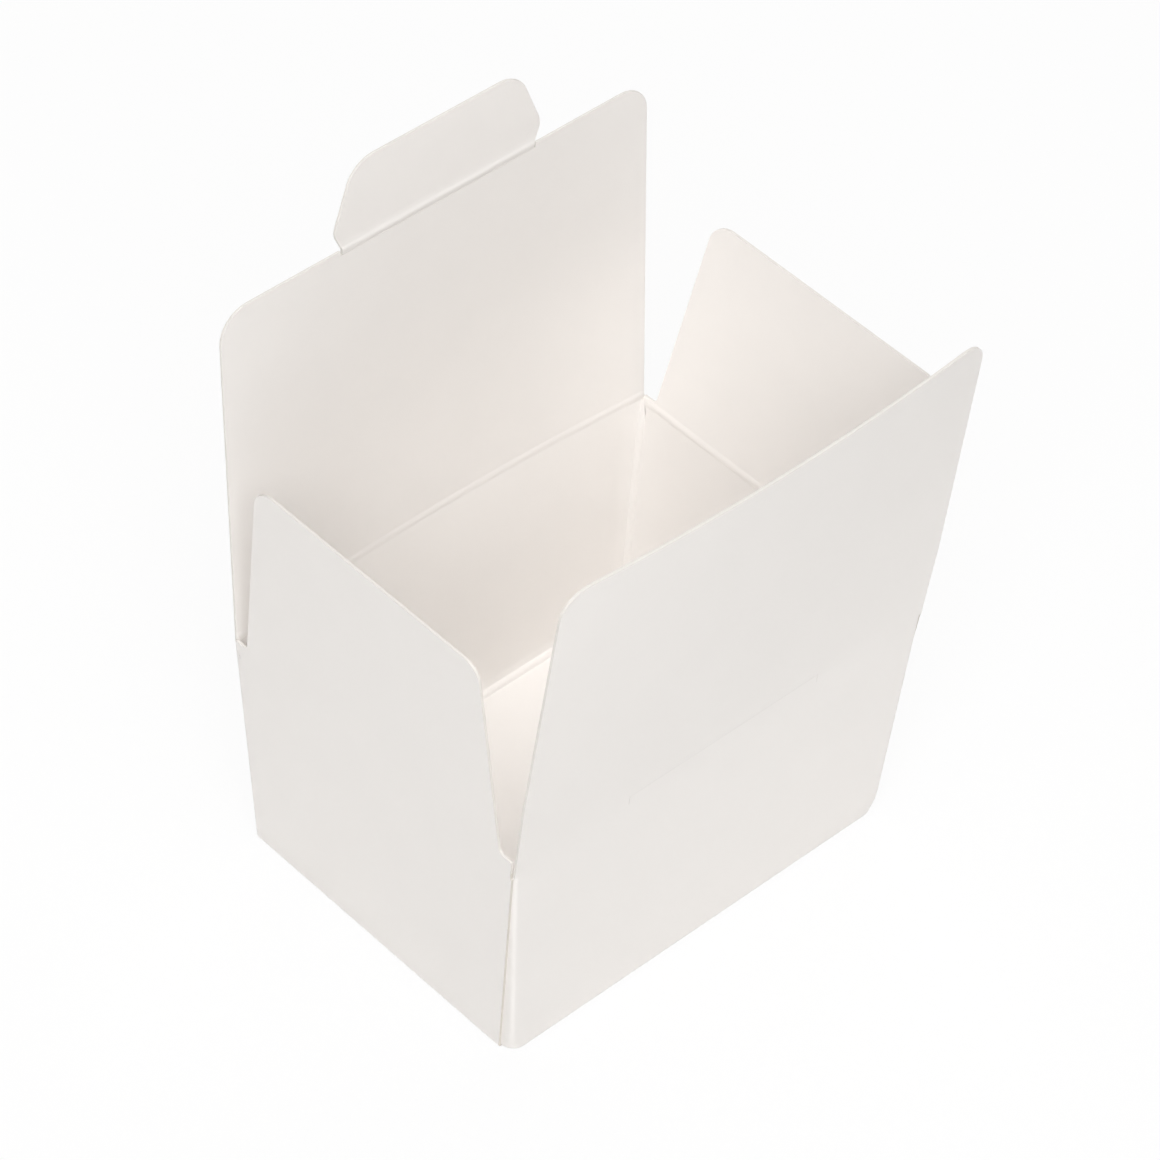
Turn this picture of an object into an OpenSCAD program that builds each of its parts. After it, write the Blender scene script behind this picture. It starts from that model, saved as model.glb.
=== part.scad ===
// Folding chocolate box (ballotin): one die-cut sheet of white board, folded,
// glued at its two front corners, with four top flaps and a hooked tuck tab.
// Millimetres. X runs along the long side, -Y is the front, Z is up.
// The origin is the middle of the underside of the base.

/* [Board] */
// Thickness of the board
board_t = 0.5; // [0.3:0.05:0.7]
// Outer radius of a folded corner
fold_r = 0.8; // [0.7:0.1:1.2]
// Free space between two flaps that lie on each other
flap_clear = 0.1; // [0.05:0.05:0.3]

/* [Body] */
// Length of the base, outside
base_l = 88.5; // [80:0.5:92]
// Width of the base, outside
base_w = 66.5; // [60:0.5:70]
// Length at the flap creases, outside
top_l = 95.4; // [93:0.1:110]
// Width at the flap creases, outside
top_w = 70.4; // [70:0.1:80]
// Height of the crease of the front flap above the table
wall_h = 50; // [40:1:60]

/* [Glued front corners] */
// Radius of the soft lower corner of the front wall
soft_r = 3.3; // [1:0.1:5]
// Height at which the soft corner has closed to a plain fold
soft_h = 5; // [3:0.5:10]
// Distance from the front fold to the cut edge of an end wall, at the base
seam_low = 2.8; // [1.5:0.1:5]
// The same distance at the crease of the end flap
seam_high = 0.4; // [0.2:0.1:1]
// Width of a glue tab behind an end wall
glue_tab_w = 14; // [8:1:25]
// Slant of the upper and lower edge of a glue tab
glue_tab_angle = 30; // [10:5:45]
// Distance from the crease of the end flap down to the glue tab
glue_tab_drop = 2; // [1:0.5:5]
// Width of the strip that holds an end wall to the base
floor_strip_w = 11; // [6:1:20]

/* [Front flap] */
// Length of the front flap from its crease
front_flap_l = 68.3; // [40:0.1:68.7]
// How much narrower the free edge is than the crease, both sides together
front_flap_taper = 1; // [0.5:0.1:8]
// Corner radius of the front flap
front_flap_r = 5.5; // [2:0.5:12]
// Outward lean of the front flap as it stands
front_lean = 5.5; // [0:0.1:20]

/* [Lid flap] */
// Space between the free edge of the closed lid and the front flap
lid_clear = 0.35; // [0.3:0.05:1]
// How much narrower the free edge is than the crease, both sides together
lid_taper = 0.4; // [0.2:0.1:8]
// Corner radius of the lid
lid_r = 6; // [2:0.5:12]
// Outward lean of the lid as it stands
lid_lean = 3.8; // [3:0.1:20]

/* [Tuck tab and its slit] */
// Length of the tuck tab from its crease
tab_l = 16.2; // [12:0.1:20]
// Width of the tab at its crease
tab_neck_w = 42.4; // [30:0.1:50]
// How far each hook of the tab stands out past the neck
tab_hook = 1.6; // [1:0.1:3]
// Height of the hooks above the crease
tab_hook_h = 4.2; // [3:0.1:6]
// How far the tab narrows from hook to tip, each side
tab_narrow = 5.5; // [2:0.1:8]
// Corner radius at the tip of the tab
tab_r = 4.5; // [2:0.5:6]
// Angle of the tab to the lid when the box is shut
tab_fold = 118; // [112:1:130]
// Length of the slit beyond the neck at each end
slit_spare = 0.6; // [0.3:0.1:0.9]

/* [End flaps] */
// Length of an end flap from its crease
end_flap_l = 44.4; // [25:0.1:46]
// Distance from the corner fold to the side edge of an end flap, at the crease
end_flap_inset = 2.9; // [1.5:0.1:6]
// Slant of the side edges of an end flap
end_flap_slant = 6.4; // [2:0.1:15]
// Height of the slot floor beside the front corner
slot_front = 2.4; // [1.5:0.1:5]
// Height of the slot floor beside the back corner
slot_back = 1; // [0.6:0.1:5]
// Radius in the floor of a slot
slot_r = 1.1; // [0.3:0.1:1.3]
// Corner radius of an end flap at its front corner
end_flap_r_front = 3.2; // [1:0.1:10]
// Corner radius of an end flap at its back corner
end_flap_r_back = 5; // [1:0.1:10]
// Outward lean of the left end flap as it stands
left_lean = 3.4; // [2:0.1:20]
// Outward lean of the right end flap as it stands
right_lean = 8.2; // [2:0.1:20]

/* [Hidden] */
$fn = 32;

white = [0.93, 0.92, 0.9];
cream = [0.95, 0.93, 0.9];

// Creases: a closed flap lies on the one below it, so each crease is a board higher
crease_step = board_t + flap_clear;
front_crease_z = wall_h;
end_crease_z = wall_h - crease_step;
lid_crease_z = wall_h + crease_step;
rim_gap = board_t / 2 + flap_clear;

// Places of the hinge lines, in the middle of the board
long_hinge_y = top_w / 2 - board_t / 2;
end_hinge_x = top_l / 2 - board_t / 2;

// Slopes of the walls: outward travel for each millimetre of height
slope_l = (top_l - base_l) / 2 / wall_h;
slope_w = (top_w - base_w) / 2 / wall_h;

// Lid and tab: the tab goes down behind the front wall, leaning back from it
lid_l = 2 * long_hinge_y - board_t / 2 - lid_clear + flap_clear / 2;
side_clear = flap_clear;
long_flap_w = top_l - 2 * board_t - 2 * side_clear;
tab_offset = 2 * long_hinge_y - lid_l;
tab_tilt = tab_fold - 90;
tab_half = board_t / 2 / cos(tab_tilt);
slit_low = tab_offset + rim_gap * tan(tab_tilt) - tab_half - flap_clear;
slit_high = tab_offset + (crease_step + board_t / 2) * tan(tab_tilt) + tab_half + flap_clear;
slit_l = tab_neck_w + 2 * slit_spare;
notch_depth = (board_t / 2 * (1 + sin(tab_tilt)) + flap_clear) / cos(tab_tilt);

// Half widths of an end flap at its crease: the root strip and the slanted side
end_root = top_w / 2 - board_t - 4.5 * flap_clear;
end_side = top_w / 2 - end_flap_inset;

// Steps in the arc of a folded corner
ring_steps = 6;

function half_l(z) = base_l / 2 + slope_l * z;
function half_w(z) = base_w / 2 + slope_w * z;

// Points of an outline with its corners rounded: each entry is [x, y, radius]
function unit(v) = v / norm(v);
function turn(a, b, c) = cross([b.x - a.x, b.y - a.y], [c.x - b.x, c.y - b.y]) >= 0 ? 1 : -1;
function corner_arc(a, b, c, steps = 8) =
    let (p = [b.x, b.y],
         u = unit([a.x, a.y] - p),
         v = unit([c.x, c.y] - p),
         half = acos(u * v) / 2,
         middle = p + unit(u + v) * b.z / sin(half),
         start = p + u * b.z / tan(half) - middle,
         sweep = 180 - 2 * half,
         side = turn(a, b, c))
    [for (i = [0:steps])
        let (t = side * sweep * i / steps)
        middle + [start.x * cos(t) - start.y * sin(t), start.x * sin(t) + start.y * cos(t)]];
function rounded(points) =
    let (n = len(points))
    [for (i = [0:n - 1])
        each points[i].z > 0
            ? corner_arc(points[(i + n - 1) % n], points[i], points[(i + 1) % n])
            : [[points[i].x, points[i].y]]];
function mirrored(side) = concat(side, [for (i = [len(side) - 1:-1:0]) [-side[i].x, side[i].y, side[i].z]]);

// One level of a flared block: a rectangle with four rounded corners.
// inset moves the four walls inwards, r and front_r are the corner radii.
function ring(z, inset, r, front_r) = [
    for (k = [0:3])
        let (c = k < 2 ? r : front_r,
             x = half_l(z) - inset - c,
             y = half_w(z) - inset - c)
        for (i = [0:ring_steps])
            let (t = 90 * (k + i / ring_steps))
            [(k == 0 || k == 3 ? x : -x) + c * cos(t), (k < 2 ? y : -y) + c * sin(t), z]];

// A solid through several rings, from the lowest to the highest
module through_rings(rings) {
    m = len(rings[0]);
    n = len(rings);
    sides = [for (j = [0:n - 2], i = [0:m - 1])
        let (a = j * m + i, b = j * m + (i + 1) % m)
        each [[a, a + m, b + m], [a, b + m, b]]];
    bottom = [for (i = [0:m - 1]) i];
    top = [for (i = [m - 1:-1:0]) (n - 1) * m + i];
    polyhedron([for (level = rings) each level], concat([bottom, top], sides));
}

// Outer form: rounded lower edge, folded corners, soft lower front corners
module outer_form() {
    through_rings([
        ring(0, fold_r, 0.2, soft_r - fold_r),
        ring(fold_r * 0.3, fold_r * 0.3, fold_r * 0.7, soft_r - fold_r * 0.3),
        ring(fold_r, 0, fold_r, soft_r - 0.2),
        ring(soft_h / 2, 0, fold_r, (soft_r + fold_r) * 0.45),
        ring(soft_h, 0, fold_r, fold_r),
        ring(lid_crease_z - rim_gap, 0, fold_r, fold_r),
    ]);
}

// Space between the walls
module inner_form() {
    r = fold_r - board_t + 0.1;
    through_rings([
        ring(board_t, board_t, r, r),
        ring(2 * wall_h, board_t, r, r),
    ]);
}

// Lays an outline, [distance from the front, height], on an end wall.
// The solid runs outwards from a plane set in by depth.
module on_end_wall(side, depth, outline) {
    flare = atan(slope_l);
    mirror([side > 0 ? 1 : 0, 0, 0])
        translate([-base_l / 2 + depth / cos(flare), -base_w / 2, 0])
            rotate([0, -flare, 0])
                rotate([90, 0, 90])
                    translate([0, 0, -8])
                        linear_extrude(8)
                            polygon(outline);
}

// Strip of an end wall that is cut away, so that its edge shows beside the front fold
seam_rise = end_crease_z / (seam_low - seam_high + slope_w * end_crease_z);
seam_strip = [
    [-9, -9],
    [seam_low + 9 / seam_rise, -9],
    [seam_low - 70 / seam_rise, 70],
    [-9, 70],
];

// Glue tab of the front wall, behind the end wall
tab_low = seam_low + 0.6;
glue_tab = rounded([
    [-9, -9, 0],
    [tab_low, -9, 0],
    [tab_low, board_t + 0.5, 0],
    [glue_tab_w, board_t + 0.5 + (glue_tab_w - tab_low) * tan(glue_tab_angle), 2],
    [glue_tab_w, end_crease_z - glue_tab_drop - glue_tab_w * tan(glue_tab_angle) / 2, 2],
    [1.2, end_crease_z - glue_tab_drop, 0],
    [1.2, 70, 0],
    [-9, 70, 0],
]);

// Rims: the wall under each flap ends just below that flap's crease
module rim_cuts() {
    translate([-top_l, -top_w, front_crease_z - rim_gap])
        cube([2 * top_l, top_w + board_t, wall_h]);
    translate([-top_l, -end_root - 2 * flap_clear, end_crease_z - rim_gap])
        cube([2 * top_l, 2 * end_root + 4 * flap_clear, wall_h]);
}

module carton_body() {
    color(white)
    difference() {
        outer_form();
        difference() {
            inner_form();
            for (side = [-1, 1]) {
                on_end_wall(side, 2 * board_t, glue_tab);
                // Strip of the end wall that is glued to the base
                translate([side * base_l / 2, 0, 0])
                    cube([2 * floor_strip_w, base_w - 6 * board_t, 4 * board_t], center = true);
            }
        }
        for (side = [-1, 1])
            on_end_wall(side, board_t, seam_strip);
        rim_cuts();
    }
}

// A flap of board: the outline stands on its crease, with a round root
module flap_board(outline, root_w) {
    rotate([90, 0, 0])
        linear_extrude(board_t, center = true)
            polygon(outline);
    rotate([0, 90, 0])
        cylinder(d = board_t, h = root_w, center = true);
}

module front_flap() {
    root = long_flap_w / 2;
    tip = root - front_flap_taper / 2;
    outline = rounded(mirrored([[root, 0, 0], [tip, front_flap_l, front_flap_r]]));
    color(white)
    translate([0, -long_hinge_y, front_crease_z])
        rotate([front_lean, 0, 0])
            difference() {
                flap_board(outline, long_flap_w);
                // Slit for the tuck tab, cut beside the crease
                translate([0, 0, (slit_low + slit_high) / 2])
                    cube([slit_l, 2 * board_t, slit_high - slit_low], center = true);
            }
}

// Carries its children from the crease of the standing lid
module on_lid() {
    translate([0, long_hinge_y, lid_crease_z])
        rotate([-lid_lean, 0, 0])
            children();
}

module lid_flap() {
    root = long_flap_w / 2;
    tip = root - lid_taper / 2;
    outline = rounded(mirrored([[root, 0, 0], [tip, lid_l, lid_r]]));
    notch_w = tab_neck_w + 4 * flap_clear;
    color(cream)
    on_lid()
        difference() {
            flap_board(outline, long_flap_w);
            translate([0, 0, lid_l])
                cube([notch_w, 2 * board_t, 2 * notch_depth], center = true);
        }
}

module tuck_tab() {
    neck = tab_neck_w / 2;
    hook = neck + tab_hook;
    tip = hook - tab_narrow;
    side = [[neck, 0, 0], [hook, tab_hook_h, 1.5], [tip, tab_l, tab_r]];
    color(cream)
    on_lid()
        translate([0, 0, lid_l])
            flap_board(rounded(mirrored(side)), tab_neck_w);
}

// An end flap seen from the end of the box, with its two different slot floors
module end_flap(lean) {
    drift = tan(end_flap_slant);
    outline = rounded([
        [-end_root, 0, 0],
        [end_root, 0, 0],
        [end_root, slot_back, 0],
        [end_side - drift * slot_back, slot_back, min(slot_r, slot_back)],
        [end_side - drift * end_flap_l, end_flap_l, end_flap_r_back],
        [-(end_side - drift * end_flap_l), end_flap_l, end_flap_r_front],
        [-(end_side - drift * slot_front), slot_front, slot_r],
        [-end_root, slot_front, 0.3],
    ]);
    translate([-end_hinge_x, 0, end_crease_z])
        rotate([0, -lean, 0])
            rotate([0, 0, 90])
                flap_board(outline, 2 * end_root);
}

module left_end_flap() {
    color(white)
    end_flap(left_lean);
}

module right_end_flap() {
    color(cream)
    mirror([1, 0, 0])
        end_flap(right_lean);
}

carton_body();
front_flap();
lid_flap();
tuck_tab();
left_end_flap();
right_end_flap();
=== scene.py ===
"""Looks of a folding chocolate box: one creased sheet of white board, glued into a flared box with open flaps.

Every piece of board is cut out flat, with its corners rounded and its grid of bend lines, given its thickness, and
then folded into place by the piece's own fold rule. Lengths are in millimetres until a mesh is finished.
"""

import logging
import math
from dataclasses import dataclass
from enum import Enum
from typing import Callable, Sequence

import bmesh
import bpy
from mathutils import Matrix, Vector


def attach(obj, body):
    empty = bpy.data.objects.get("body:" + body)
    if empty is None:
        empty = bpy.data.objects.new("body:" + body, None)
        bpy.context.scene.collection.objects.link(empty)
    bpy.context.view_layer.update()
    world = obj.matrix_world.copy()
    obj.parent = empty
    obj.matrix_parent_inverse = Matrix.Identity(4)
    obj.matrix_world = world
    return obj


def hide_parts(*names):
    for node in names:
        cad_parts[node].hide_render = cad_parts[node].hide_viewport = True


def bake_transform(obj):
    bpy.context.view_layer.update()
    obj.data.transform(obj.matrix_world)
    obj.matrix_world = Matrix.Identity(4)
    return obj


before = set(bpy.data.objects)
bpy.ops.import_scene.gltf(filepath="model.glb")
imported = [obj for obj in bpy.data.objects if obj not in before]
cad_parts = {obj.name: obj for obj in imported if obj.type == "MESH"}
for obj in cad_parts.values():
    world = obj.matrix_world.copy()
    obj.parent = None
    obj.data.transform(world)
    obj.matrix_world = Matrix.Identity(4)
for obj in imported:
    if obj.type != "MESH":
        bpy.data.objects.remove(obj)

LOG = logging.getLogger("candy_box")
MM = 0.001
NEAR = 1e-4
SHARP = math.radians(40)

Corner = tuple[float, float, float]
FoldRule = Callable[[float, float, float], Vector]


class Face(Enum):
    """Which surface of the board a face shows, as its material index."""

    OUTER = 0
    INNER = 1
    CUT = 2
    # Cut edges in a glued seam, coloured darker: partly glue staining, partly painted shade of the narrow gap.
    SEAM_GLUE_AND_SHADE = 3


@dataclass(frozen=True)
class Carton:
    """Sizes of the folded box."""

    board: float = 0.5
    base_l: float = 88.5
    base_w: float = 66.5
    top_l: float = 95.4
    top_w: float = 70.4
    wall_h: float = 50.0
    crease_step: float = 0.6
    fold_r: float = 0.8
    soft_r: float = 3.3
    soft_h: float = 5.0
    seam_low: float = 2.8
    seam_high: float = 0.4
    zone: float = 1.0

    @property
    def end_z(self) -> float:
        """Height of the creases of the end flaps."""
        return self.wall_h - self.crease_step

    @property
    def lid_z(self) -> float:
        """Height of the crease of the lid."""
        return self.wall_h + self.crease_step

    @property
    def slope_l(self) -> float:
        """Outward travel of an end wall for each millimetre of height."""
        return (self.top_l - self.base_l) / 2 / self.wall_h

    @property
    def slope_w(self) -> float:
        """Outward travel of a long wall for each millimetre of height."""
        return (self.top_w - self.base_w) / 2 / self.wall_h

    def half_l(self, z: float) -> float:
        """Half the outside length at a height."""
        return self.base_l / 2 + self.slope_l * z

    def half_w(self, z: float) -> float:
        """Half the outside width at a height."""
        return self.base_w / 2 + self.slope_w * z


BOX = Carton()


def clamp(value: float, low: float = 0.0, high: float = 1.0) -> float:
    """Keep a value between two limits."""
    return max(low, min(high, value))


def ease(value: float) -> float:
    """Smooth step from 0 to 1."""
    t = clamp(value)
    return t * t * (3 - 2 * t)


def mix(a: float, b: float, t: float) -> float:
    """Straight mixture of two values."""
    return a + (b - a) * t


def steps(low: float, high: float, gap: float) -> list[float]:
    """Evenly spaced values strictly between two limits, at most a gap apart."""
    count = max(1, math.ceil((high - low) / gap))
    return [low + (high - low) * i / count for i in range(1, count)]


class BoardSheet:
    """A flat cut sheet of board that is then folded into its place."""

    def __init__(self, name: str, outline: Sequence[Corner], across: Sequence[float], up: Sequence[float]) -> None:
        """Cut the outline and its bend lines.

        Args:
            name: name of the piece.
            outline: corners as across, up and the length that rounding takes from each side.
            across: places of the bend lines that run up the sheet.
            up: places of the bend lines that run across the sheet.
        """
        self.name = name
        self.bm = bmesh.new()
        corners = [self.bm.verts.new((x, 0.0, u)) for x, u, _ in outline]
        self.bm.faces.new(corners)
        for corner, (_, _, cut) in zip(corners, outline):
            if cut > 0:
                bmesh.ops.bevel(
                    self.bm,
                    geom=[corner],
                    offset=cut,
                    offset_type="OFFSET",
                    segments=8,
                    profile=0.5,
                    affect="VERTICES",
                    material=-1,
                )
        for x in across:
            self._bend_line(Vector((x, 0, 0)), Vector((1, 0, 0)))
        for u in up:
            self._bend_line(Vector((0, 0, u)), Vector((0, 0, 1)))

    def _bend_line(self, place: Vector, normal: Vector) -> None:
        """Divide the flat sheet along one straight line."""
        geom = self.bm.verts[:] + self.bm.edges[:] + self.bm.faces[:]
        bmesh.ops.bisect_plane(self.bm, geom=geom, dist=1e-5, plane_co=place, plane_no=normal)

    def cut_window(self, x0: float, x1: float, u0: float, u1: float) -> None:
        """Cut a rectangular window whose sides lie on bend lines.

        Args:
            x0: lower end of the window across the sheet.
            x1: upper end of the window across the sheet.
            u0: lower side of the window.
            u1: upper side of the window.
        """
        inside = [
            f
            for f in self.bm.faces
            if x0 < f.calc_center_median().x < x1 and u0 < f.calc_center_median().z < u1
        ]
        bmesh.ops.delete(self.bm, geom=inside, context="FACES")

    def slant_cut(self, x0: float, x1: float, u: float, slant: float) -> None:
        """Slant a straight cut across the sheet, after the sheet has its thickness.

        Args:
            x0: lower end of the cut.
            x1: upper end of the cut.
            u: distance of the cut up from the crease.
            slant: how much higher the cut lies on the inner face than on the outer one.
        """
        for v in self.bm.verts:
            if abs(v.co.z - u) < NEAR and x0 - NEAR < v.co.x < x1 + NEAR:
                v.co.z += slant * (v.co.y / BOX.board - 0.5)

    def thicken(self, soften: float = 0.09) -> None:
        """Give the sheet its thickness, with slightly softened cut edges.

        Args:
            soften: width of the rounding along the cut edges, 0 for none.
        """
        made = bmesh.ops.extrude_face_region(self.bm, geom=self.bm.faces[:])
        inner = [g for g in made["geom"] if isinstance(g, bmesh.types.BMVert)]
        bmesh.ops.translate(self.bm, verts=inner, vec=(0.0, BOX.board, 0.0))
        bmesh.ops.recalc_face_normals(self.bm, faces=self.bm.faces[:])
        for f in self.bm.faces:
            depths = [v.co.y for v in f.verts]
            if max(depths) < NEAR:
                f.material_index = Face.OUTER.value
            elif min(depths) > BOX.board - NEAR:
                f.material_index = Face.INNER.value
            else:
                f.material_index = Face.CUT.value
        if soften > 0:
            self.soften(soften)

    def mark_ends(self, low: float, high: float) -> None:
        """Mark the cut edges at the two ends of the sheet, which lie in a glued seam; their darker seam colour is
        partly glue staining and partly painted shade of the gap.

        Args:
            low: place of the sheet's first end.
            high: place of the sheet's last end.
        """
        for f in self.bm.faces:
            at = [v.co.x for v in f.verts]
            if max(at) < low + NEAR or min(at) > high - NEAR:
                f.material_index = Face.SEAM_GLUE_AND_SHADE.value

    def mark_roots(self, top: float) -> None:
        """Mark the cut sides of a flap's root, which lie in the seam beside the front wall; their darker seam
        colour is partly glue staining and partly painted shade of the gap.

        Args:
            top: distance up from the crease at which the seam ends.
        """
        for f in self.bm.faces:
            upright = f.material_index == Face.CUT.value and abs(f.normal.x) > 0.9
            if upright and max(v.co.z for v in f.verts) < top + NEAR:
                f.material_index = Face.SEAM_GLUE_AND_SHADE.value

    def soften(self, width: float) -> None:
        """Round the edges between the faces of the board and its cut edges.

        Args:
            width: width of the rounding.
        """
        rims = []
        for e in self.bm.edges:
            kinds = {f.material_index for f in e.link_faces}
            if len(kinds) == 2 and kinds != {0, 1} and Face.SEAM_GLUE_AND_SHADE.value not in kinds and not self._is_joint(e):
                rims.append(e)
        bmesh.ops.bevel(
            self.bm,
            geom=rims,
            offset=width,
            offset_type="OFFSET",
            segments=1,
            profile=0.5,
            affect="EDGES",
            material=Face.CUT.value,
            clamp_overlap=True,
        )

    def _is_joint(self, edge: bmesh.types.BMEdge) -> bool:
        """Tell whether an edge lies on the lower rim, where the sheet runs on into a wall."""
        low = min(v.co.z for v in self.bm.verts)
        return all(v.co.z < low + NEAR for v in edge.verts)

    def fold(self, rule: FoldRule) -> None:
        """Carry every point to its folded place, with the faces outwards.

        Args:
            rule: gives a point's place from its across, up and depth.
        """
        for v in self.bm.verts:
            v.co = rule(v.co.x, v.co.z, v.co.y) * MM
        if self.bm.calc_volume(signed=True) < 0:
            bmesh.ops.reverse_faces(self.bm, faces=self.bm.faces[:])

    def finish(self, materials: Sequence[bpy.types.Material]) -> bpy.types.Object:
        """Make the object, with its four materials.

        Args:
            materials: outer face, inner face, cut edge and seam edge.

        Returns:
            The finished object at the origin.
        """
        mesh = bpy.data.meshes.new(self.name)
        self.bm.to_mesh(mesh)
        self.bm.free()
        for material in materials:
            mesh.materials.append(material)
        mesh.shade_smooth()
        mesh.set_sharp_from_angle(angle=SHARP)
        piece = bpy.data.objects.new(self.name, mesh)
        bpy.context.scene.collection.objects.link(piece)
        LOG.info("%s: %d faces", self.name, len(mesh.polygons))
        return piece


class Fibre:
    """Node group of the board's surface: soft clouding of the pulp and fine fibres."""

    name = "board_fibre"

    def group(self) -> bpy.types.NodeTree:
        """Build the group once.

        Returns:
            The node group, with Color, Roughness and Height outputs.
        """
        if self.name in bpy.data.node_groups:
            return bpy.data.node_groups[self.name]
        tree = bpy.data.node_groups.new(self.name, "ShaderNodeTree")
        face = tree.interface
        face.new_socket("Board", in_out="INPUT", socket_type="NodeSocketColor")
        face.new_socket("Clouding", in_out="INPUT", socket_type="NodeSocketFloat").default_value = 0.02
        face.new_socket("Fibres", in_out="INPUT", socket_type="NodeSocketFloat").default_value = 0.3
        face.new_socket("Gloss", in_out="INPUT", socket_type="NodeSocketFloat").default_value = 0.55
        face.new_socket("Color", in_out="OUTPUT", socket_type="NodeSocketColor")
        face.new_socket("Roughness", in_out="OUTPUT", socket_type="NodeSocketFloat")
        face.new_socket("Height", in_out="OUTPUT", socket_type="NodeSocketFloat")
        nodes, links = tree.nodes, tree.links
        given = nodes.new("NodeGroupInput")
        out = nodes.new("NodeGroupOutput")
        where = nodes.new("ShaderNodeTexCoord")

        cloud = nodes.new("ShaderNodeTexNoise")
        cloud.inputs["Scale"].default_value = 90.0
        cloud.inputs["Detail"].default_value = 3.0
        links.new(where.outputs["Object"], cloud.inputs["Vector"])

        stretch = nodes.new("ShaderNodeMapping")
        stretch.inputs["Scale"].default_value = (700.0, 700.0, 2600.0)
        links.new(where.outputs["Object"], stretch.inputs["Vector"])
        fibre = nodes.new("ShaderNodeTexNoise")
        fibre.inputs["Scale"].default_value = 1.6
        fibre.inputs["Detail"].default_value = 4.0
        fibre.inputs["Roughness"].default_value = 0.65
        links.new(stretch.outputs["Vector"], fibre.inputs["Vector"])

        spread = nodes.new("ShaderNodeMath")
        spread.operation = "SUBTRACT"
        spread.inputs[1].default_value = 0.5
        links.new(cloud.outputs["Fac"], spread.inputs[0])
        amount = nodes.new("ShaderNodeMath")
        amount.operation = "MULTIPLY_ADD"
        amount.inputs[2].default_value = 1.0
        links.new(spread.outputs[0], amount.inputs[0])
        links.new(given.outputs["Clouding"], amount.inputs[1])
        shade = nodes.new("ShaderNodeVectorMath")
        shade.operation = "SCALE"
        links.new(given.outputs["Board"], shade.inputs[0])
        links.new(amount.outputs[0], shade.inputs["Scale"])
        links.new(shade.outputs[0], out.inputs["Color"])

        rough = nodes.new("ShaderNodeMath")
        rough.operation = "MULTIPLY_ADD"
        rough.inputs[1].default_value = 0.12
        links.new(fibre.outputs["Fac"], rough.inputs[0])
        links.new(given.outputs["Gloss"], rough.inputs[2])
        links.new(rough.outputs[0], out.inputs["Roughness"])

        height = nodes.new("ShaderNodeMath")
        height.operation = "MULTIPLY"
        links.new(fibre.outputs["Fac"], height.inputs[0])
        links.new(given.outputs["Fibres"], height.inputs[1])
        links.new(height.outputs[0], out.inputs["Height"])
        return tree


@dataclass(frozen=True)
class BoardFinish:
    """One surface of the board."""

    name: str
    color: tuple[float, float, float]
    clouding: float
    fibres: float
    gloss: float
    specular: float

    def material(self) -> bpy.types.Material:
        """Build the material from the shared fibre group.

        Returns:
            The finished material.
        """
        made = bpy.data.materials.new(self.name)
        made.use_nodes = True
        nodes, links = made.node_tree.nodes, made.node_tree.links
        shader = nodes["Principled BSDF"]
        shader.inputs["Specular IOR Level"].default_value = self.specular
        group = nodes.new("ShaderNodeGroup")
        group.node_tree = Fibre().group()
        group.inputs["Board"].default_value = (*self.color, 1.0)
        group.inputs["Clouding"].default_value = self.clouding
        group.inputs["Fibres"].default_value = self.fibres
        group.inputs["Gloss"].default_value = self.gloss
        links.new(group.outputs["Color"], shader.inputs["Base Color"])
        links.new(group.outputs["Roughness"], shader.inputs["Roughness"])
        bump = nodes.new("ShaderNodeBump")
        bump.inputs["Strength"].default_value = 0.25
        bump.inputs["Distance"].default_value = 0.00006
        links.new(group.outputs["Height"], bump.inputs["Height"])
        links.new(bump.outputs["Normal"], shader.inputs["Normal"])
        return made


@dataclass(frozen=True)
class Finishes:
    """The four surfaces that the pieces of the board have."""

    outer: BoardFinish = BoardFinish("board_outer_face", (0.915, 0.885, 0.858), 0.02, 0.3, 0.42, 0.35)
    inner: BoardFinish = BoardFinish("board_inner_face", (0.955, 0.926, 0.9), 0.03, 0.6, 0.62, 0.2)
    cut: BoardFinish = BoardFinish("board_cut_edge", (0.8, 0.77, 0.735), 0.05, 1.0, 0.7, 0.1)
    # Seam edge: darker than the cut edge, partly glue staining and partly painted shade of the narrow gap in the
    # seam.
    seam: BoardFinish = BoardFinish("board_seam_edge_glue_and_painted_shade", (0.72, 0.68, 0.63), 0.05, 1.0, 0.8, 0.1)

    def materials(self) -> list[bpy.types.Material]:
        """Outer face, inner face, cut edge and seam edge, in the order of Face."""
        return [finish.material() for finish in (self.outer, self.inner, self.cut, self.seam)]


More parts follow.
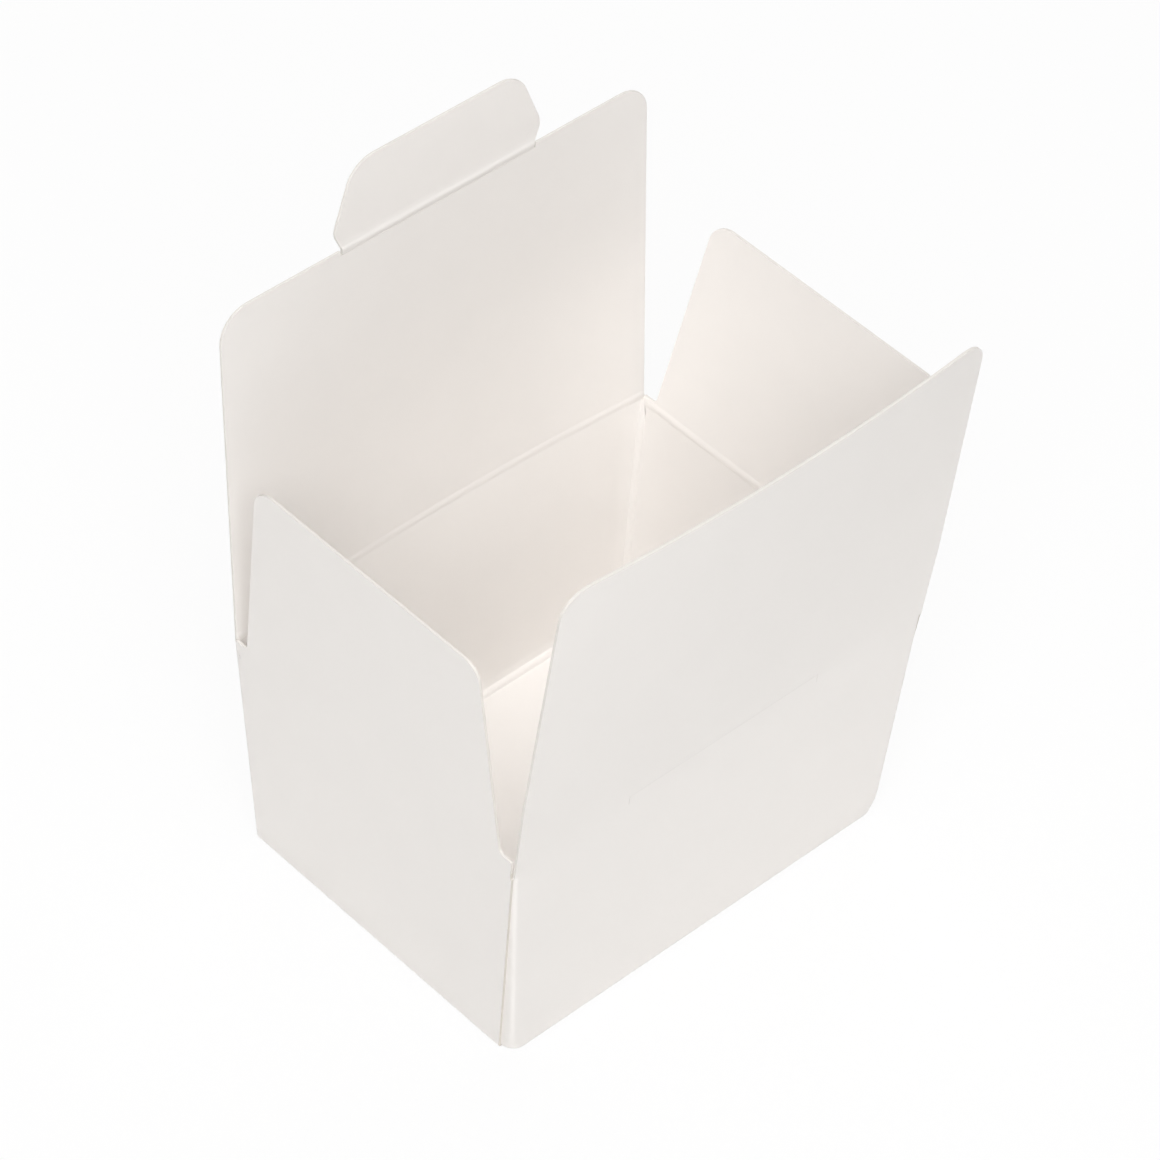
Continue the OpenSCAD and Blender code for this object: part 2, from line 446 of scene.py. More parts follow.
@dataclass(frozen=True)
class Crease:
    """How a flap stands on its wall: height of the hinge, leans and bow."""

    out_axis: Vector
    along: Vector
    hinge_z: float
    wall_out: float
    wall_slope: float
    lean: float
    bow_root: float = 0.0
    bow_tip: float = 0.0
    length: float = 1.0
    half: float = 46.8

    def lean_at(self, u: float) -> float:
        """Angle from upright at a distance up from the crease."""
        return mix(math.atan(self.wall_slope), self.lean, ease((u + BOX.zone) / (2 * BOX.zone)))

    def bow(self, x: float, u: float) -> float:
        """Work out the outward bulge of the sheet at a point.

        Args:
            x: distance along the crease from its middle.
            u: distance up the sheet from the crease.

        Returns:
            The bulge in millimetres.
        """
        shape = clamp(1 - (x / self.half) ** 2)
        if u < 0:
            return self.bow_root * ((self.hinge_z + u) / self.hinge_z) ** 2 * shape
        return mix(self.bow_root, self.bow_tip, clamp(u / self.length)) * shape

    def section(self, u: float) -> tuple[float, float, float]:
        """Middle of the board in the section across the crease.

        Args:
            u: distance up the sheet from the crease.

        Returns:
            Outward place, height and lean.
        """
        count = 12
        zone = clamp(u, -BOX.zone, BOX.zone)
        start = -BOX.zone
        out = self.wall_out
        z = self.hinge_z - BOX.zone * math.cos(math.atan(self.wall_slope))
        if zone > start:
            span = (zone - start) / count
            for i in range(count):
                angle = self.lean_at(start + (i + 0.5) * span)
                out += math.sin(angle) * span
                z += math.cos(angle) * span
        if u > BOX.zone:
            out += math.sin(self.lean) * (u - BOX.zone)
            z += math.cos(self.lean) * (u - BOX.zone)
        return out, z, self.lean_at(u)

    def bead(self, u: float) -> float:
        """Work out the roll that the crease raises on the inner face.

        Args:
            u: distance up the sheet from the crease.

        Returns:
            Height of the roll, below 0 in the fine groove beside it.
        """
        t = abs(u) / 0.95
        roll = 0.1 * math.cos(clamp(t) * math.pi / 2) ** 1.2
        groove = -0.02 * math.exp(-(((abs(u) - 0.98) / 0.14) ** 2))
        return roll + (groove if u > -BOX.zone + 0.02 else 0.0)

    def place(self, x: float, u: float, depth: float) -> Vector:
        """Place of a point of the sheet, with the crease's roll on the inner face.

        Args:
            x: distance along the crease from its middle.
            u: distance up the sheet from the crease.
            depth: distance in from the outer face.

        Returns:
            The point in millimetres.
        """
        out, z, lean = self.section(u)
        share = depth / BOX.board
        inward = depth - BOX.board / 2 + self.bead(u) * share - self.bow(x, u)
        out -= math.cos(lean) * inward
        z += math.sin(lean) * inward
        return self.along * x + self.out_axis * out + Vector((0, 0, z))

    def ends(self) -> tuple[Vector, Vector]:
        """Find where the bend starts and ends.

        Returns:
            Start and end of the bend, in metres.
        """
        low = self.section(-BOX.zone)
        high = self.section(BOX.zone)
        return tuple((self.out_axis * s[0] + Vector((0, 0, s[1]))) * MM for s in (low, high))


def wall_middle(half: float) -> float:
    """Middle of the board of a wall whose outer face lies at a distance."""
    return half - BOX.board / 2


@dataclass(frozen=True)
class Slit:
    """The cut that the tuck tab goes through; the board below it stays upright when the flap is folded."""

    half: float = 21.8
    height: float = 1.18
    slant: float = 0.26
    gap: float = 0.04
    thinned: float = 0.25

    def cut(self, sheet: BoardSheet) -> None:
        """Take the board below the slit out of the flap."""
        sheet.cut_window(-self.half, self.half, -BOX.zone - 0.01, self.height)

    def slope(self, sheet: BoardSheet) -> None:
        """Slant the flap's side of the slit the way the tab leans in it."""
        sheet.slant_cut(-self.half, self.half, self.height, self.slant)

    def lip(self, crease: Crease, materials: Sequence[bpy.types.Material]) -> bpy.types.Object:
        """Make the strip of board below the slit, which stands on the wall.

        Args:
            crease: the crease that the strip belongs to.
            materials: outer face, inner face, cut edge and seam edge.

        Returns:
            The finished piece.
        """
        side, top = self.half - self.gap, self.height - self.gap
        outline = [(-side, -BOX.zone, 0.0), (side, -BOX.zone, 0.0), (side, top, 0.0), (-side, top, 0.0)]
        up = [-0.8, -0.6, -0.4, -0.2, 0.0, 0.2, 0.4, 0.6, 0.8]
        sheet = BoardSheet("slit_lip", outline, steps(-side, side, 3.0), up)
        sheet.thicken(soften=0.0)
        sheet.slant_cut(-side, side, top, self.slant)
        sheet.fold(lambda x, u, depth: crease.place(x, u, depth * (1 - self.thinned * ease(u / 0.3))))
        piece = sheet.finish(materials)
        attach(piece, "carton")
        return piece


@dataclass
class Flap:
    """A flap of board with rounded corners, bending from its wall."""

    node: str
    body: str
    slot: str
    crease: Crease
    outline: list[Corner]
    across_gap: float = 3.0
    up_gap: float = 3.0
    slit: Slit | None = None
    seam_top: float | None = None

    def build(self, materials: Sequence[bpy.types.Material]) -> bpy.types.Object:
        """Cut, thicken and fold the flap, and hide the imported part that it replaces.

        Args:
            materials: outer face, inner face, cut edge and seam edge.

        Returns:
            The finished piece.
        """
        xs = [p[0] for p in self.outline]
        us = [p[1] for p in self.outline]
        across = steps(min(xs), max(xs), self.across_gap)
        up = [-0.8, -0.6, -0.4, -0.2, 0.0, 0.2, 0.4, 0.6, 0.8, 1.0, 1.2, 1.5]
        up += steps(1.5, max(us), self.up_gap)
        if self.slit:
            across = sorted(across + [-self.slit.half, self.slit.half])
            up = [u for u in up if abs(u - self.slit.height) > 0.17] + [self.slit.height]
        sheet = BoardSheet(f"{self.node}_board", self.outline, across, sorted(up))
        if self.slit:
            self.slit.cut(sheet)
        sheet.thicken(soften=0.0)
        if self.slit:
            self.slit.slope(sheet)
        if self.seam_top is not None:
            sheet.mark_roots(self.seam_top)
        sheet.soften(0.03 if self.slit else 0.09)
        sheet.fold(self.crease.place)
        piece = sheet.finish(materials)
        start, end = self.crease.ends()
        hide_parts(self.node)
        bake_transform(piece)
        return piece


@dataclass(frozen=True)
class FlapSizes:
    """Outline sizes of the four flaps and the tab."""

    front_root: float = 47.25
    front_half: float = 47.6
    front_l: float = 68.3
    front_tip: float = 46.6
    front_r: float = 5.5
    lid_half: float = 47.4
    lid_l: float = 69.35
    lid_tip: float = 47.2
    lid_r: float = 6.0
    neck: float = 21.2
    end_l: float = 44.4
    end_root: float = 34.5
    end_side: float = 32.2
    end_back: float = 31.8
    end_slant: float = 6.4
    slot_front: float = 3.5
    slot_back: float = 1.0
    bulge: float = 2.1
    front_lean: float = 5.5
    lid_lean: float = 3.8
    left_lean: float = 3.4
    right_lean: float = 8.2

    def front(self) -> list[Corner]:
        """Draw the outline of the front flap.

        Returns:
            The corners, with the root slightly drawn in.
        """
        return [
            (-self.front_root, -BOX.zone, 0.0),
            (self.front_root, -BOX.zone, 0.0),
            (self.front_root, 1.0, 0.0),
            (self.front_half, 16.0, 0.0),
            (self.front_tip, self.front_l, self.front_r),
            (-self.front_tip, self.front_l, self.front_r),
            (-self.front_half, 16.0, 0.0),
            (-self.front_root, 1.0, 0.0),
        ]

    def lid(self) -> list[Corner]:
        """Draw the outline of the lid.

        Returns:
            The corners, with the notch that the tab's crease lies in.
        """
        notch = self.neck + 0.25
        low = self.lid_l - 0.9
        return [
            (-self.lid_half, -BOX.zone, 0.0),
            (self.lid_half, -BOX.zone, 0.0),
            (self.lid_tip, self.lid_l, self.lid_r),
            (notch, self.lid_l, 0.3),
            (notch, low, 0.0),
            (-notch, low, 0.0),
            (-notch, self.lid_l, 0.3),
            (-self.lid_tip, self.lid_l, self.lid_r),
        ]

    def end(self, toward_front: float) -> list[Corner]:
        """Outline of an end flap.

        Args:
            toward_front: 1 or -1, the side of the flap's own axis that faces the front.

        Returns:
            The corners, with the slot floors that differ front and back.
        """
        drift = math.tan(math.radians(self.end_slant))
        front = [
            (self.end_root, -BOX.zone, 0.0),
            (self.end_root, 0.5, 0.0),
            (self.end_root + 0.18, self.slot_front, 0.3),
            (self.end_side - drift * self.slot_front, self.slot_front, 1.1),
            (self.end_side - drift * self.end_l, self.end_l, 3.2),
        ]
        back = [
            (-(self.end_back - drift * self.end_l), self.end_l, 4.4),
            (-(self.end_back - drift * self.slot_back), self.slot_back, 1.0),
            (-self.end_root, self.slot_back, 0.0),
            (-self.end_root, -BOX.zone, 0.0),
        ]
        return [(x * toward_front, u, cut) for x, u, cut in front + back]


class TuckTab:
    """The hooked tab on the free edge of the lid."""

    def __init__(self, sizes: FlapSizes, lid: Crease) -> None:
        """Remember the sizes and the lid that carries the tab."""
        self.sizes = sizes
        self.lid = lid

    def outline(self) -> list[Corner]:
        """Half of the tab's outline mirrored to both sides."""
        side = [(21.2, -0.88, 0.0), (21.25, 0.2, 0.0), (22.75, 3.6, 0.9), (22.3, 5.2, 0.0), (18.0, 16.2, 4.0)]
        return side + [(-x, u, cut) for x, u, cut in reversed(side)]

    def place(self, x: float, u: float, depth: float) -> Vector:
        """Place of a point, with the roll of the tab's own crease.

        Args:
            x: distance along the crease from its middle.
            u: distance up the tab from its crease.
            depth: distance in from the outer face.

        Returns:
            The point in millimetres.
        """
        share = depth / BOX.board
        roll = 0.14 * math.cos(clamp(abs(u) / 0.8) * math.pi / 2) * share
        return self.lid.place(x, self.sizes.lid_l + u, depth + roll)

    def build(self, materials: Sequence[bpy.types.Material]) -> bpy.types.Object:
        """Cut, thicken and fold the tab, and hide the imported tab that it replaces.

        Args:
            materials: outer face, inner face, cut edge and seam edge.

        Returns:
            The finished piece.
        """
        across = steps(-22.75, 22.75, 3.0)
        up = [-0.6, -0.4, -0.2, 0.0, 0.2, 0.4, 0.6, 0.8, 2.0, 3.6, 5.2, 8.0, 11.0, 14.0]
        sheet = BoardSheet("tuck_tab_board", self.outline(), across, up)
        sheet.thicken()
        sheet.fold(self.place)
        piece = sheet.finish(materials)
        start = self.lid.place(0, self.sizes.lid_l - 0.88, BOX.board / 2) * MM
        end = self.lid.place(0, self.sizes.lid_l + 0.8, BOX.board / 2) * MM
        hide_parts("tuck_tab")
        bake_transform(piece)
        return piece


@dataclass(frozen=True)
class Fold:
    """An upright corner fold: outer rounding, and the roll on its inner side."""

    corner: Callable[[float], Vector]
    before: Vector
    after: Vector
    radius: Callable[[float], float]
    roll: bool

    def span(self, z: float) -> float:
        """Length of wall that the fold takes on each side."""
        wide = max(1.6, self.radius(z) + 0.5)
        return mix(wide, 0.9, ease((z - 46.0) / 2.4))

    def inner_span(self, z: float, inset: float) -> float:
        """Length of inner wall that the fold takes on each side."""
        return self.span(z) + (inset - BOX.board)

    def outer(self, tau: float, z: float, inset: float) -> Vector:
        """Point of the outer contour, tau running 0 to 1 through the fold."""
        return self._rounded(tau, z, inset, self.span(z), 0.03)

    def inner(self, tau: float, z: float, inset: float) -> Vector:
        """Point of the inner contour, a light roll between two fine grooves.

        Args:
            tau: 0 to 1 through the fold.
            z: height.
            inset: distance in from the outer face of the walls.

        Returns:
            The point, at the height of the corner's own point.
        """
        span = self.inner_span(z, inset)
        if not self.roll:
            return self._rounded(tau, z, inset, span, 0.12)
        a, b = mix(-span, -inset, tau), mix(inset, span, tau)
        size = (span - inset) / 1.1
        bulge = 0.12 * math.sin(math.pi * tau) * size
        groove = -0.07 * (math.exp(-(((tau - 0.1) / 0.07) ** 2)) + math.exp(-(((tau - 0.9) / 0.07) ** 2))) * size
        inward = (bulge + groove) / math.sqrt(2)
        return self.corner(z) + self.before * (a - inward) + self.after * (b + inward)

    def _rounded(self, tau: float, z: float, inset: float, span: float, least: float) -> Vector:
        """Point of a contour that turns the corner on an arc between two straight ends.

        Args:
            tau: 0 to 1 through the fold.
            z: height.
            inset: distance in from the outer face of the walls.
            span: length of wall that the fold takes on each side.
            least: smallest radius that the arc may have.

        Returns:
            The point, at the height of the corner's own point.
        """
        r = max(self.radius(z) - inset, least)
        mid = r + inset
        if tau < 0.2:
            a, b = mix(-span, -mid, tau / 0.2), inset
        elif tau > 0.8:
            a, b = -inset, mix(mid, span, (tau - 0.8) / 0.2)
        else:
            angle = (tau - 0.2) / 0.6 * math.pi / 2
            a, b = -mid + r * math.sin(angle), mid - r * math.cos(angle)
        return self.corner(z) + self.before * a + self.after * b


class Wrap:
    """Walls folded from one strip: two end panels, two corner folds and a long wall between them."""

    def __init__(
        self,
        name: str,
        folds: tuple[Fold, Fold],
        first_end: Callable[[float], Vector],
        last_end: Callable[[float], Vector],
        bow: float,
        bow_axis: Vector,
        tops: tuple[float, float, float],
    ) -> None:
        """Describe the strip.

        Args:
            name: name of the piece.
            folds: the two corner folds, in order.
            first_end: start of the first end panel at a height, on its outer face.
            last_end: end of the last end panel at a height, on its outer face.
            bow: bulge of the long wall at its upper edge.
            bow_axis: outward direction of the long wall.
            tops: upper edge of the end panels, of the corners and of the long wall.
        """
        self.name = name
        self.folds = folds
        self.first_end = first_end
        self.last_end = last_end
        self.bow = bow
        self.bow_axis = bow_axis
        self.tops = tops

    def top(self, s: float) -> float:
        """Work out the height of the upper edge.

        Args:
            s: place along the strip, as in place.

        Returns:
            The height in millimetres.
        """
        ends, corner, wall = self.tops
        if s <= 1.0 or s >= 4.0:
            return ends
        if 2.0 <= s <= 3.0:
            return wall
        tau = s - 1.0 if s < 2.0 else 4.0 - s
        if tau < 0.08:
            return mix(ends, corner, tau / 0.08)
        if tau < 0.55:
            return corner
        return mix(corner, wall, clamp((tau - 0.55) / 0.1))

    def section(self, v: float, depth: float, top: float) -> tuple[float, float]:
        """Inset and height of a point of the wall's section.

        Args:
            v: 0 to 1 round the lower fold, 1 to 2 up the wall.
            depth: distance in from the outer face.
            top: height of the upper edge.

        Returns:
            Inset from the outer face of the wall, and height.
        """
        share = depth / BOX.board
        r = BOX.fold_r
        if v <= 1.0:
            angle = v * math.pi / 2
            outer = (r * (1 - math.sin(angle)), r * (1 - math.cos(angle)))
            bulge = 0.16 * math.sin(math.pi * v)
            groove = -0.08 * (math.exp(-(((v - 0.1) / 0.08) ** 2)) + math.exp(-(((v - 0.9) / 0.08) ** 2)))
            roll = (bulge + groove) / math.sqrt(2)
            inner = (mix(1.6, BOX.board, v) + roll, mix(BOX.board, 1.6, v) + roll)
        else:
            outer = (0.0, mix(r, top, v - 1.0))
            inner = (BOX.board, mix(1.6, top, v - 1.0))
        return mix(outer[0], inner[0], share), mix(outer[1], inner[1], share)

    def place(self, s: float, v: float, depth: float) -> Vector:
        """Place of a point of the strip.

        Args:
            s: 0 to 1 first end panel, 1 to 2 first fold, 2 to 3 long wall, 3 to 4 second fold, 4 to 5 last panel.
            v: 0 to 1 round the lower fold, 1 to 2 up the wall.
            depth: distance in from the outer face.

        Returns:
            The point in millimetres.
        """
        inset, z = self.section(v, depth, self.top(s))
        is_inner = depth > BOX.board / 2
        first, last = self.folds
        if s <= 1.0:
            start = self.first_end(z) + first.after * inset
            point = start.lerp(self._edge(first, 0.0, z, inset, is_inner), s)
        elif s < 2.0:
            point = self._edge(first, s - 1.0, z, inset, is_inner)
        elif s <= 3.0:
            a = self._edge(first, 1.0, z, inset, is_inner)
            b = self._edge(last, 0.0, z, inset, is_inner)
            point = a.lerp(b, s - 2.0)
            xi = 2 * (s - 2.5)
            point += self.bow_axis * (self.bow * (z / self.tops[2]) ** 2 * (1 - xi * xi))
        elif s < 4.0:
            point = self._edge(last, s - 3.0, z, inset, is_inner)
        else:
            stop = self.last_end(z) - last.before * inset
            point = self._edge(last, 1.0, z, inset, is_inner).lerp(stop, s - 4.0)
        return Vector((point.x, point.y, z))

    @staticmethod
    def _edge(fold: Fold, tau: float, z: float, inset: float, is_inner: bool) -> Vector:
        """Point of a fold's outer or inner contour."""
        return fold.inner(tau, z, inset) if is_inner else fold.outer(tau, z, inset)

    def build(self, materials: Sequence[bpy.types.Material]) -> bpy.types.Object:
        """Cut, thicken and fold the strip, and tie it to the carton.

        Args:
            materials: outer face, inner face, cut edge and seam edge.

        Returns:
            The finished piece.
        """
        outline = [(0.0, 0.0, 0.0), (5.0, 0.0, 0.0), (5.0, 2.0, 0.0), (0.0, 2.0, 0.0)]
        taus = [0.0, 0.05, 0.1, 0.15, 0.2, 0.3, 0.4, 0.5, 0.6, 0.7, 0.8, 0.85, 0.9, 0.95]
        turns = [1.0 + t for t in taus] + [3.0 + t for t in taus]
        across = steps(0, 1, 0.1) + steps(2, 3, 0.04) + steps(4, 5, 0.1) + turns
        across += [1.08, 1.55, 1.65, 2.0, 3.35, 3.45, 3.92, 4.0]
        up = [0.1, 0.2, 0.3, 0.4, 0.5, 0.6, 0.7, 0.8, 0.9, 1.0] + [1.0 + 0.05 * i for i in range(1, 20)]
        sheet = BoardSheet(self.name, outline, sorted(set(across)), up)
        sheet.thicken(soften=0.0)
        sheet.mark_ends(0.0, 5.0)
        sheet.fold(self.place)
        piece = sheet.finish(materials)
        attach(piece, "carton")
        return piece


class CartonWalls:
    """The glued walls: the rear strip with the end walls, and the front strip with its glue tabs."""

    glue_tab: float = 14.0
    glue_tab_angle: float = 30.0

    def seam(self, z: float) -> float:
        """Distance from the front fold to the cut edge of an end wall."""
        rise = BOX.end_z / (BOX.seam_low - BOX.seam_high + BOX.slope_w * BOX.end_z)
        return BOX.base_w / 2 - BOX.seam_low + z / rise

    def tab_end(self, z: float) -> float:
        """Work out the reach of a glue tab from the front fold.

        Args:
            z: height.

        Returns:
            The reach in millimetres.
        """
        slope = math.tan(math.radians(self.glue_tab_angle))
        low = 3.4 + (z - 1.0) / slope
        high = 1.4 + (BOX.end_z - 2.0 - z) * 2 / slope
        return clamp(min(low, high, self.glue_tab), 2.4, self.glue_tab)

    def rear(self) -> Wrap:
        """Describe the left end wall, back wall and right end wall.

        Returns:
            The strip that makes the three walls.
        """
        left = Fold(
            lambda z: Vector((-BOX.half_l(z), BOX.half_w(z), 0)),
            Vector((0, 1, 0)),
            Vector((1, 0, 0)),
            lambda z: BOX.fold_r,
            True,
        )
        right = Fold(
            lambda z: Vector((BOX.half_l(z), BOX.half_w(z), 0)),
            Vector((1, 0, 0)),
            Vector((0, -1, 0)),
            lambda z: BOX.fold_r,
            True,
        )
        return Wrap(
            "rear_and_end_walls",
            (left, right),
            lambda z: Vector((-BOX.half_l(z), -self.seam(z), 0)),
            lambda z: Vector((BOX.half_l(z), -self.seam(z), 0)),
            FlapSizes().bulge * ((BOX.lid_z - BOX.zone) / BOX.lid_z) ** 2,
            Vector((0, 1, 0)),
            (BOX.end_z - BOX.zone, BOX.wall_h + 0.2, BOX.lid_z - BOX.zone),
        )

    def front(self) -> Wrap:
        """Describe the front wall with its glue tabs, which lie one board behind the end walls.

        Returns:
            The strip that makes the wall and its tabs.
        """
        inset = BOX.board

        def radius(z: float) -> float:
            """Rounding of the front folds, soft at the bottom."""
            soft = clamp(1 - z / BOX.soft_h)
            return BOX.fold_r + (BOX.soft_r - BOX.fold_r) * soft * soft

        left = Fold(
            lambda z: Vector((-BOX.half_l(z) + inset, -BOX.half_w(z), 0)),
            Vector((0, -1, 0)),
            Vector((1, 0, 0)),
            radius,
            False,
        )
        right = Fold(
            lambda z: Vector((BOX.half_l(z) - inset, -BOX.half_w(z), 0)),
            Vector((1, 0, 0)),
            Vector((0, 1, 0)),
            radius,
            False,
        )

        def end(sign: float) -> Callable[[float], Vector]:
            """Describe the cut end of a glue tab.

            Args:
                sign: -1 at the left end, 1 at the right one.

            Returns:
                The rule that gives the end's place at a height.
            """
            return lambda z: Vector(
                (sign * (BOX.half_l(z) - inset), -BOX.half_w(z) + max(self.tab_end(z), 3.4), 0)
            )

        return Wrap(
            "front_wall_and_glue_tabs",
            (left, right),
            end(-1.0),
            end(1.0),
            0.0,
            Vector((0, -1, 0)),
            (BOX.end_z - BOX.zone - 0.2, BOX.wall_h - 0.4, BOX.wall_h - BOX.zone),
        )

    def build(self, materials: Sequence[bpy.types.Material]) -> list[bpy.types.Object]:
        """Build both strips, and hide the imported carton body that they replace.

        Args:
            materials: outer face, inner face, cut edge and seam edge.

        Returns:
            The two finished pieces.
        """
        rear = self.rear().build(materials)
        front = self.front().build(materials)
        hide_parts("carton_body")
        return [rear, front]


class BasePanel:
    """The base, and the strips of the end walls that are glued down on it."""

    strip: float = 11.0

    def build(self, materials: Sequence[bpy.types.Material]) -> list[bpy.types.Object]:
        """Build the base panel and its two strips.

        Args:
            materials: outer face, inner face, cut edge and seam edge.

        Returns:
            The three finished pieces.
        """
        x, y = BOX.base_l / 2 - 0.95, BOX.base_w / 2 - 0.95
        pieces = [self._plate("base_panel", (-x, x, -y, y), 0.0, 2.2, materials)]
        for name, sign in (("left_base_strip", -1.0), ("right_base_strip", 1.0)):
            low, high = sorted((sign * (BOX.base_l / 2 - 0.9), sign * (BOX.base_l / 2 - self.strip)))
            edge = BOX.base_w / 2 - 3.0
            pieces.append(self._plate(name, (low, high, -edge, edge), BOX.board, 0.4, materials))
        return pieces

    def _plate(
        self,
        name: str,
        sides: tuple[float, float, float, float],
        z: float,
        corner: float,
        materials: Sequence[bpy.types.Material],
    ) -> bpy.types.Object:
        """Make one flat plate of board whose outer face looks down.

        Args:
            name: name of the piece.
            sides: lowest and highest across, then lowest and highest along.
            z: height of the outer face.
            corner: length that the corner's rounding takes from each side.
            materials: outer face, inner face, cut edge and seam edge.

        Returns:
            The finished piece.
        """
        x0, x1, y0, y1 = sides
        outline = [(x0, y0, corner), (x1, y0, corner), (x1, y1, corner), (x0, y1, corner)]
        sheet = BoardSheet(name, outline, steps(x0, x1, 8.0), steps(y0, y1, 8.0))
        sheet.thicken(soften=0.0 if z == 0.0 else 0.08)
        sheet.fold(lambda x, y, depth: Vector((x, y, z + depth)))
        piece = sheet.finish(materials)
        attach(piece, "carton")
        return piece


@dataclass(frozen=True)
class Studio:
    """Floor, lights and camera."""

    azimuth: float = -45.45
    elevation: float = 44.75
    roll: float = 3.79
    distance: float = 0.895
    focal_px: float = 5210.0
    image_px: float = 1160.0
    shift_right: float = 0.00023
    shift_up: float = 0.014575
    target_z: float = 0.04
    lamps: tuple[tuple[str, Corner, float, float], ...] = (
        ("overhead", (-0.1, -0.25, 2.1), 1.4, 12.5),
        ("front_left", (-0.98, -0.98, 1.75), 1.5, 36.5),
        ("low_front_left", (-1.5, -1.5, 0.6), 1.5, 4.0),
        ("low_behind_right", (1.5, 1.5, 0.7), 1.5, 19.0),
    )
    surrounding: float = 0.15

    def camera(self) -> bpy.types.Object:
        """Stand the camera where the photograph was taken from.

        Returns:
            The camera, set as the scene's camera.
        """
        a, e, r = (math.radians(v) for v in (self.azimuth, self.elevation, self.roll))
        back = Vector((math.sin(a) * math.cos(e), -math.cos(a) * math.cos(e), math.sin(e)))
        right = Vector((math.cos(a), math.sin(a), 0.0))
        up = back.cross(right)
        right, up = right * math.cos(r) + up * math.sin(r), up * math.cos(r) - right * math.sin(r)
        target = Vector((0, 0, self.target_z)) + right * self.shift_right + up * self.shift_up
        data = bpy.data.cameras.new("camera")
        data.sensor_width = 36.0
        data.lens = self.focal_px / self.image_px * 36.0
        data.clip_start = 0.01
        camera = bpy.data.objects.new("camera", data)
        turn = Matrix((right, up, back)).transposed().to_4x4()
        camera.matrix_world = Matrix.Translation(target + back * self.distance) @ turn
        bpy.context.scene.collection.objects.link(camera)
        bpy.context.scene.camera = camera
        return camera

    def lamp(self, name: str, place: Corner, size: float, power: float) -> None:
        """Hang one square soft lamp that looks at the box.

        Args:
            name: name of the lamp.
            place: where it hangs, in metres.
            size: side of its square, in metres.
            power: power in watts.
        """
        data = bpy.data.lights.new(name, "AREA")
        data.shape = "SQUARE"
        data.size = size
        data.energy = power
        data.color = (1.0, 0.998, 0.993)
        lamp = bpy.data.objects.new(name, data)
        spot = Vector(place)
        turn = (spot - Vector((0, 0, 0.05))).to_track_quat("Z", "Y").to_matrix().to_4x4()
        lamp.matrix_world = Matrix.Translation(spot) @ turn
        bpy.context.scene.collection.objects.link(lamp)

    def lights(self) -> None:
        """Hang the soft lamps, and give the scene an even, weak surrounding that the camera sees as white."""
        for lamp in self.lamps:
            self.lamp(*lamp)
        world = bpy.data.worlds.new("surrounding")
        world.use_nodes = True
        nodes, links = world.node_tree.nodes, world.node_tree.links
        ground = nodes["Background"]
        ground.inputs["Color"].default_value = (1.0, 0.99, 0.975, 1.0)
        ground.inputs["Strength"].default_value = self.surrounding
        seen = nodes.new("ShaderNodeBackground")
        seen.inputs["Color"].default_value = (1, 1, 1, 1)
        seen.inputs["Strength"].default_value = 1.0
        path = nodes.new("ShaderNodeLightPath")
        blend = nodes.new("ShaderNodeMixShader")
        links.new(path.outputs["Is Camera Ray"], blend.inputs[0])
        links.new(ground.outputs[0], blend.inputs[1])
        links.new(seen.outputs[0], blend.inputs[2])
        links.new(blend.outputs[0], nodes["World Output"].inputs["Surface"])
        bpy.context.scene.world = world

    def floor(self) -> bpy.types.Object:
        """Lay a plain pale floor that keeps a soft shadow.

        Returns:
            The floor.
        """
        bm = bmesh.new()
        bmesh.ops.create_grid(bm, x_segments=1, y_segments=1, size=3.0)
        bmesh.ops.translate(bm, verts=bm.verts[:], vec=(0, 0, -0.0001))
        mesh = bpy.data.meshes.new("floor")
        bm.to_mesh(mesh)
        bm.free()
        floor = bpy.data.objects.new("floor", mesh)
        bpy.context.scene.collection.objects.link(floor)
        paint = bpy.data.materials.new("pale_floor")
        paint.use_nodes = True
        nodes, links = paint.node_tree.nodes, paint.node_tree.links
        shader = nodes["Principled BSDF"]
        shader.inputs["Base Color"].default_value = (0.86, 0.86, 0.86, 1)
        shader.inputs["Roughness"].default_value = 0.9
        shader.inputs["Specular IOR Level"].default_value = 0.0
        white = nodes.new("ShaderNodeEmission")
        white.inputs["Strength"].default_value = 1.0
        path = nodes.new("ShaderNodeLightPath")
        share = nodes.new("ShaderNodeMath")
        share.operation = "MULTIPLY"
        share.inputs[1].default_value = 0.9
        blend = nodes.new("ShaderNodeMixShader")
        links.new(path.outputs["Is Camera Ray"], share.inputs[0])
        links.new(share.outputs[0], blend.inputs[0])
        links.new(shader.outputs[0], blend.inputs[1])
        links.new(white.outputs[0], blend.inputs[2])
        links.new(blend.outputs[0], nodes["Material Output"].inputs["Surface"])
        mesh.materials.append(paint)
        return floor


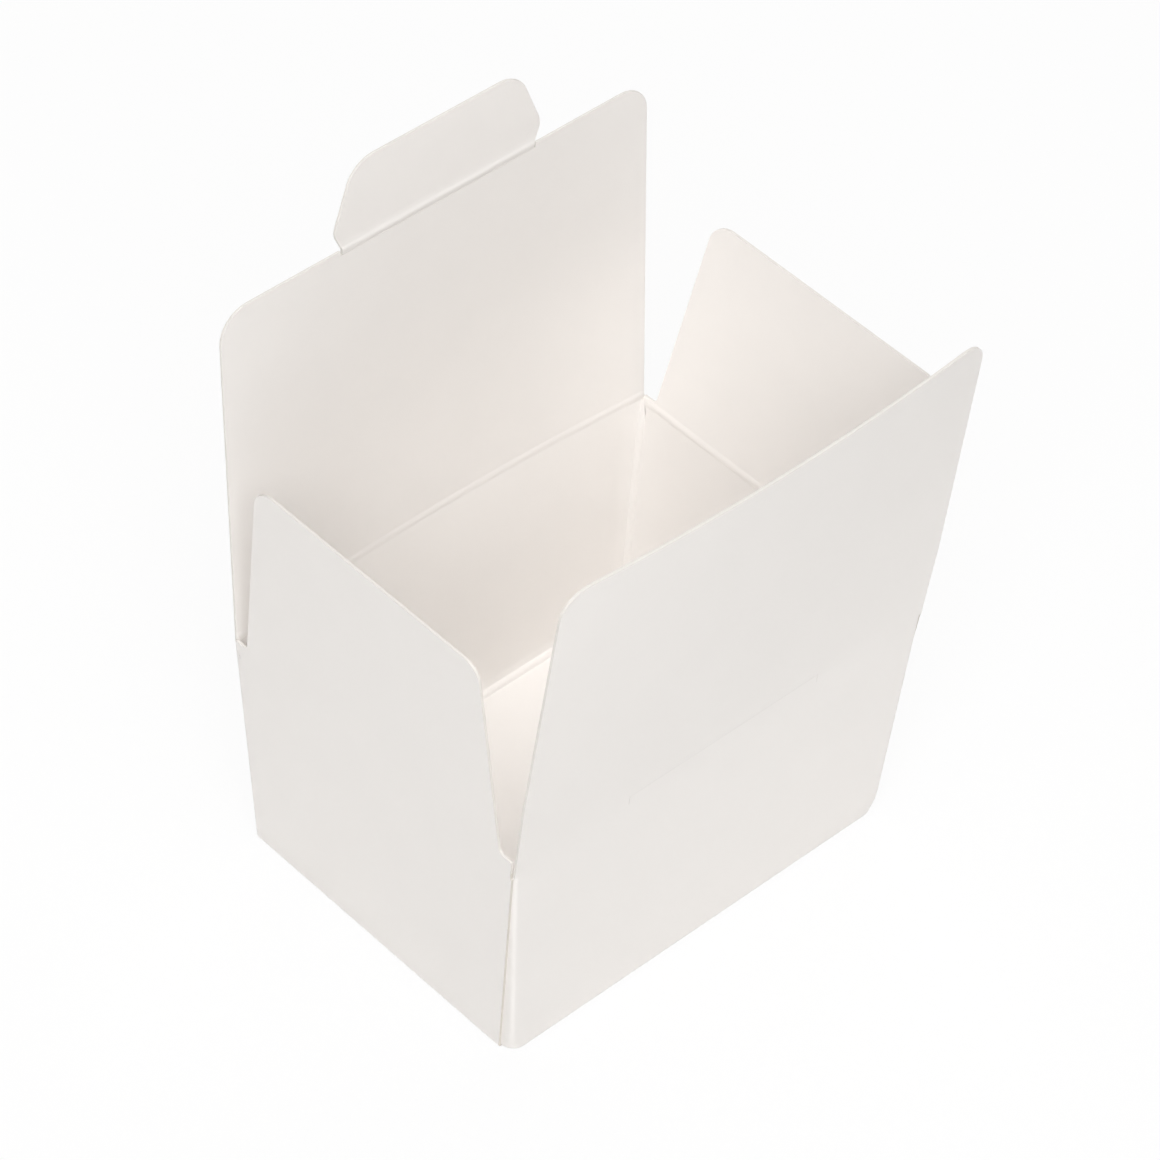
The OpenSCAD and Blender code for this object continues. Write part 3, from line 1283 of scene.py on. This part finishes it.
def creases(sizes: FlapSizes) -> dict[str, Crease]:
    """Describe how each flap stands.

    Args:
        sizes: the flaps' outlines and bulges.

    Returns:
        One crease for each flap.
    """
    front_low = BOX.wall_h - BOX.zone
    lid_low = BOX.lid_z - BOX.zone
    end_low = BOX.end_z - BOX.zone
    return {
        "front": Crease(
            Vector((0, -1, 0)),
            Vector((1, 0, 0)),
            BOX.wall_h,
            wall_middle(BOX.half_w(front_low)),
            BOX.slope_w,
            math.radians(sizes.front_lean),
            0.0,
            sizes.bulge,
            sizes.front_l,
        ),
        "lid": Crease(
            Vector((0, 1, 0)),
            Vector((1, 0, 0)),
            BOX.lid_z,
            wall_middle(BOX.half_w(lid_low)),
            BOX.slope_w,
            math.radians(sizes.lid_lean),
            sizes.bulge,
            0.0,
            sizes.lid_l,
        ),
        "left": Crease(
            Vector((-1, 0, 0)),
            Vector((0, 1, 0)),
            BOX.end_z,
            wall_middle(BOX.half_l(end_low)),
            BOX.slope_l,
            math.radians(sizes.left_lean),
        ),
        "right": Crease(
            Vector((1, 0, 0)),
            Vector((0, 1, 0)),
            BOX.end_z,
            wall_middle(BOX.half_l(end_low)),
            BOX.slope_l,
            math.radians(sizes.right_lean),
        ),
    }


def build_box() -> list[bpy.types.Object]:
    """Build every piece of the box.

    Returns:
        The pieces, in the order of making.
    """
    sizes = FlapSizes()
    at = creases(sizes)
    board = Finishes().materials()
    pieces = CartonWalls().build(board)
    pieces += BasePanel().build(board)
    slit = Slit()
    pieces.append(slit.lip(at["front"], board))
    flaps = [
        Flap("front_flap", "front", "front_board", at["front"], sizes.front(), slit=slit),
        Flap("lid_flap", "lid", "lid_board", at["lid"], sizes.lid()),
        Flap("left_end_flap", "left_end", "left_board", at["left"], sizes.end(-1.0), seam_top=0.4),
        Flap("right_end_flap", "right_end", "right_board", at["right"], sizes.end(-1.0), seam_top=0.4),
    ]
    pieces += [flap.build(board) for flap in flaps]
    pieces.append(TuckTab(sizes, at["lid"]).build(board))
    return pieces


def main() -> None:
    """Build the box and its studio."""
    logging.basicConfig(level=logging.INFO, format="%(message)s")
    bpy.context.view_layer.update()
    for piece in build_box():
        LOG.info("built %s", piece.name)
    studio = Studio()
    studio.camera()
    studio.lights()
    studio.floor()
    bpy.context.scene.view_settings.view_transform = "Standard"
    bpy.context.view_layer.update()


if __name__ == "__main__":
    main()
